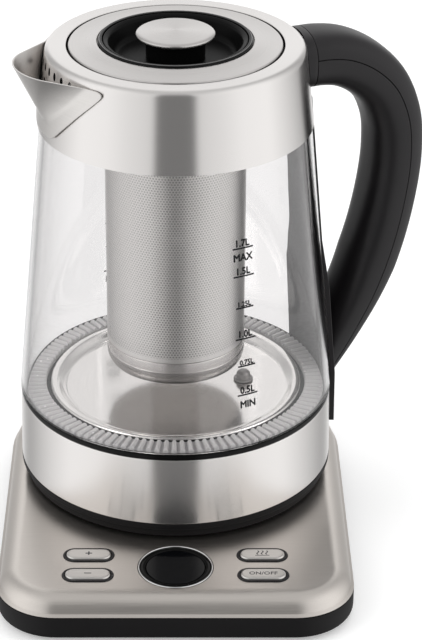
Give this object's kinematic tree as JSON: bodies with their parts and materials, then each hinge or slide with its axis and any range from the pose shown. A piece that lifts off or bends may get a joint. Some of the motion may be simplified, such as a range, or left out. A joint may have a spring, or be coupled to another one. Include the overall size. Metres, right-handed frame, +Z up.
{
  "type": "electric tea kettle",
  "caption": "Glass tea kettle with a steel collar, V spout, loop handle and lift-out infuser under a capped lid, on a square power base with keys round a display.",
  "frame": {"origin": "on the jug's axis, at the flat underside of the base tray (the rubber feet reach 1.6 mm lower)", "axes": "+Z up along the jug's axis, -Y towards the keys and the display, +X to the right of a user who faces the keys; the handle points 20 degrees from +X towards +Y"},
  "size_m": [0.2139, 0.2217, 0.2652],
  "materials": {
    "black_plastic": "satin moulded",
    "soft_black": "matte moulded",
    "black_rubber": "matte",
    "base_steel": "brushed, warm",
    "jug_steel": "brushed",
    "key_metal": "satin",
    "bright_trim": "polished",
    "screw_steel": "plated",
    "display_black": "gloss",
    "circuit_board": "lacquered",
    "contact_brass": "plain",
    "cast_aluminium": "cast",
    "clear_silicone": "translucent",
    "clear_glass": "clear"
  },
  "bodies": {
    "base": {"base_tray": "black_plastic", "base_cover": "base_steel", "foot_1": "black_rubber", "foot_2": "black_rubber", "foot_3": "black_rubber", "foot_4": "black_rubber", "base_screw_1": "screw_steel", "base_screw_2": "screw_steel", "base_screw_3": "screw_steel", "base_screw_4": "screw_steel", "display_trim": "bright_trim", "display_bezel": "black_plastic", "display_lens": "display_black", "display_module": "black_plastic", "control_board": "circuit_board", "key_frame_left": "black_plastic", "key_frame_right": "black_plastic", "switch_plus": "soft_black", "switch_minus": "soft_black", "switch_warm": "soft_black", "switch_power": "soft_black", "base_connector": "black_plastic", "cord_gland": "black_rubber"},
    "plus_button": {"key_plus": "key_metal"},
    "minus_button": {"key_minus": "key_metal"},
    "warm_button": {"key_warm": "key_metal"},
    "power_button": {"key_power": "key_metal"},
    "swivel_sleeve": {"connector_shutter": "soft_black"},
    "kettle": {"bottom_cover": "black_plastic", "lower_band": "jug_steel", "kettle_socket": "black_plastic", "contact_ring": "contact_brass", "contact_pin": "contact_brass", "heating_element": "cast_aluminium", "heat_spreader": "cast_aluminium", "heating_plate": "jug_steel", "temperature_probe": "jug_steel", "trim_ring": "black_plastic", "glass_seal": "clear_silicone", "glass_jug": "clear_glass", "upper_seal": "clear_silicone", "collar": "jug_steel", "spout": "jug_steel", "handle_bracket": "black_plastic", "handle_outer": "black_plastic", "handle_inner": "black_plastic", "handle_strip": "black_plastic", "handle_screw_top": "screw_steel", "handle_screw_low": "screw_steel"},
    "lid": {"lid_plate": "jug_steel", "lid_carrier": "black_plastic", "lid_gasket": "clear_silicone"},
    "infuser": {"infuser_rim": "black_plastic", "infuser_basket": "jug_steel", "infuser_base": "jug_steel"},
    "cap": {"cap_well": "soft_black", "cap_seal": "clear_silicone", "knob_stem": "soft_black", "knob_disc": "jug_steel", "cap_screw": "screw_steel"}
  },
  "joints": [
    {"name": "plus_press", "type": "slide", "parent": "base", "child": "plus_button", "axis": [0, 0, -1], "range_m": [0, 0.0008], "stiffness_N_per_m": 1200, "springref_m": -0.0004},
    {"name": "minus_press", "type": "slide", "parent": "base", "child": "minus_button", "axis": [0, 0, -1], "range_m": [0, 0.0008], "stiffness_N_per_m": 1200, "springref_m": -0.0004},
    {"name": "warm_press", "type": "slide", "parent": "base", "child": "warm_button", "axis": [0, 0, -1], "range_m": [0, 0.0008], "stiffness_N_per_m": 1200, "springref_m": -0.0004},
    {"name": "power_press", "type": "slide", "parent": "base", "child": "power_button", "axis": [0, 0, -1], "range_m": [0, 0.0008], "stiffness_N_per_m": 1200, "springref_m": -0.0004},
    {"name": "kettle_turn", "type": "hinge", "parent": "base", "child": "swivel_sleeve", "pos_m": [0, 0, 0.02], "axis": [0, 0, 1], "continuous": true},
    {"name": "kettle_lift", "type": "slide", "parent": "swivel_sleeve", "child": "kettle", "axis": [0, 0, 1], "range_m": [0, 0.03]},
    {"name": "lid_lift", "type": "slide", "parent": "kettle", "child": "lid", "axis": [0, 0, 1], "range_m": [0, 0.18]},
    {"name": "infuser_lift", "type": "slide", "parent": "lid", "child": "infuser", "axis": [0, 0, 1], "range_m": [0, 0.18]},
    {"name": "cap_lift", "type": "slide", "parent": "infuser", "child": "cap", "axis": [0, 0, 1], "range_m": [0, 0.02]}
  ]
}
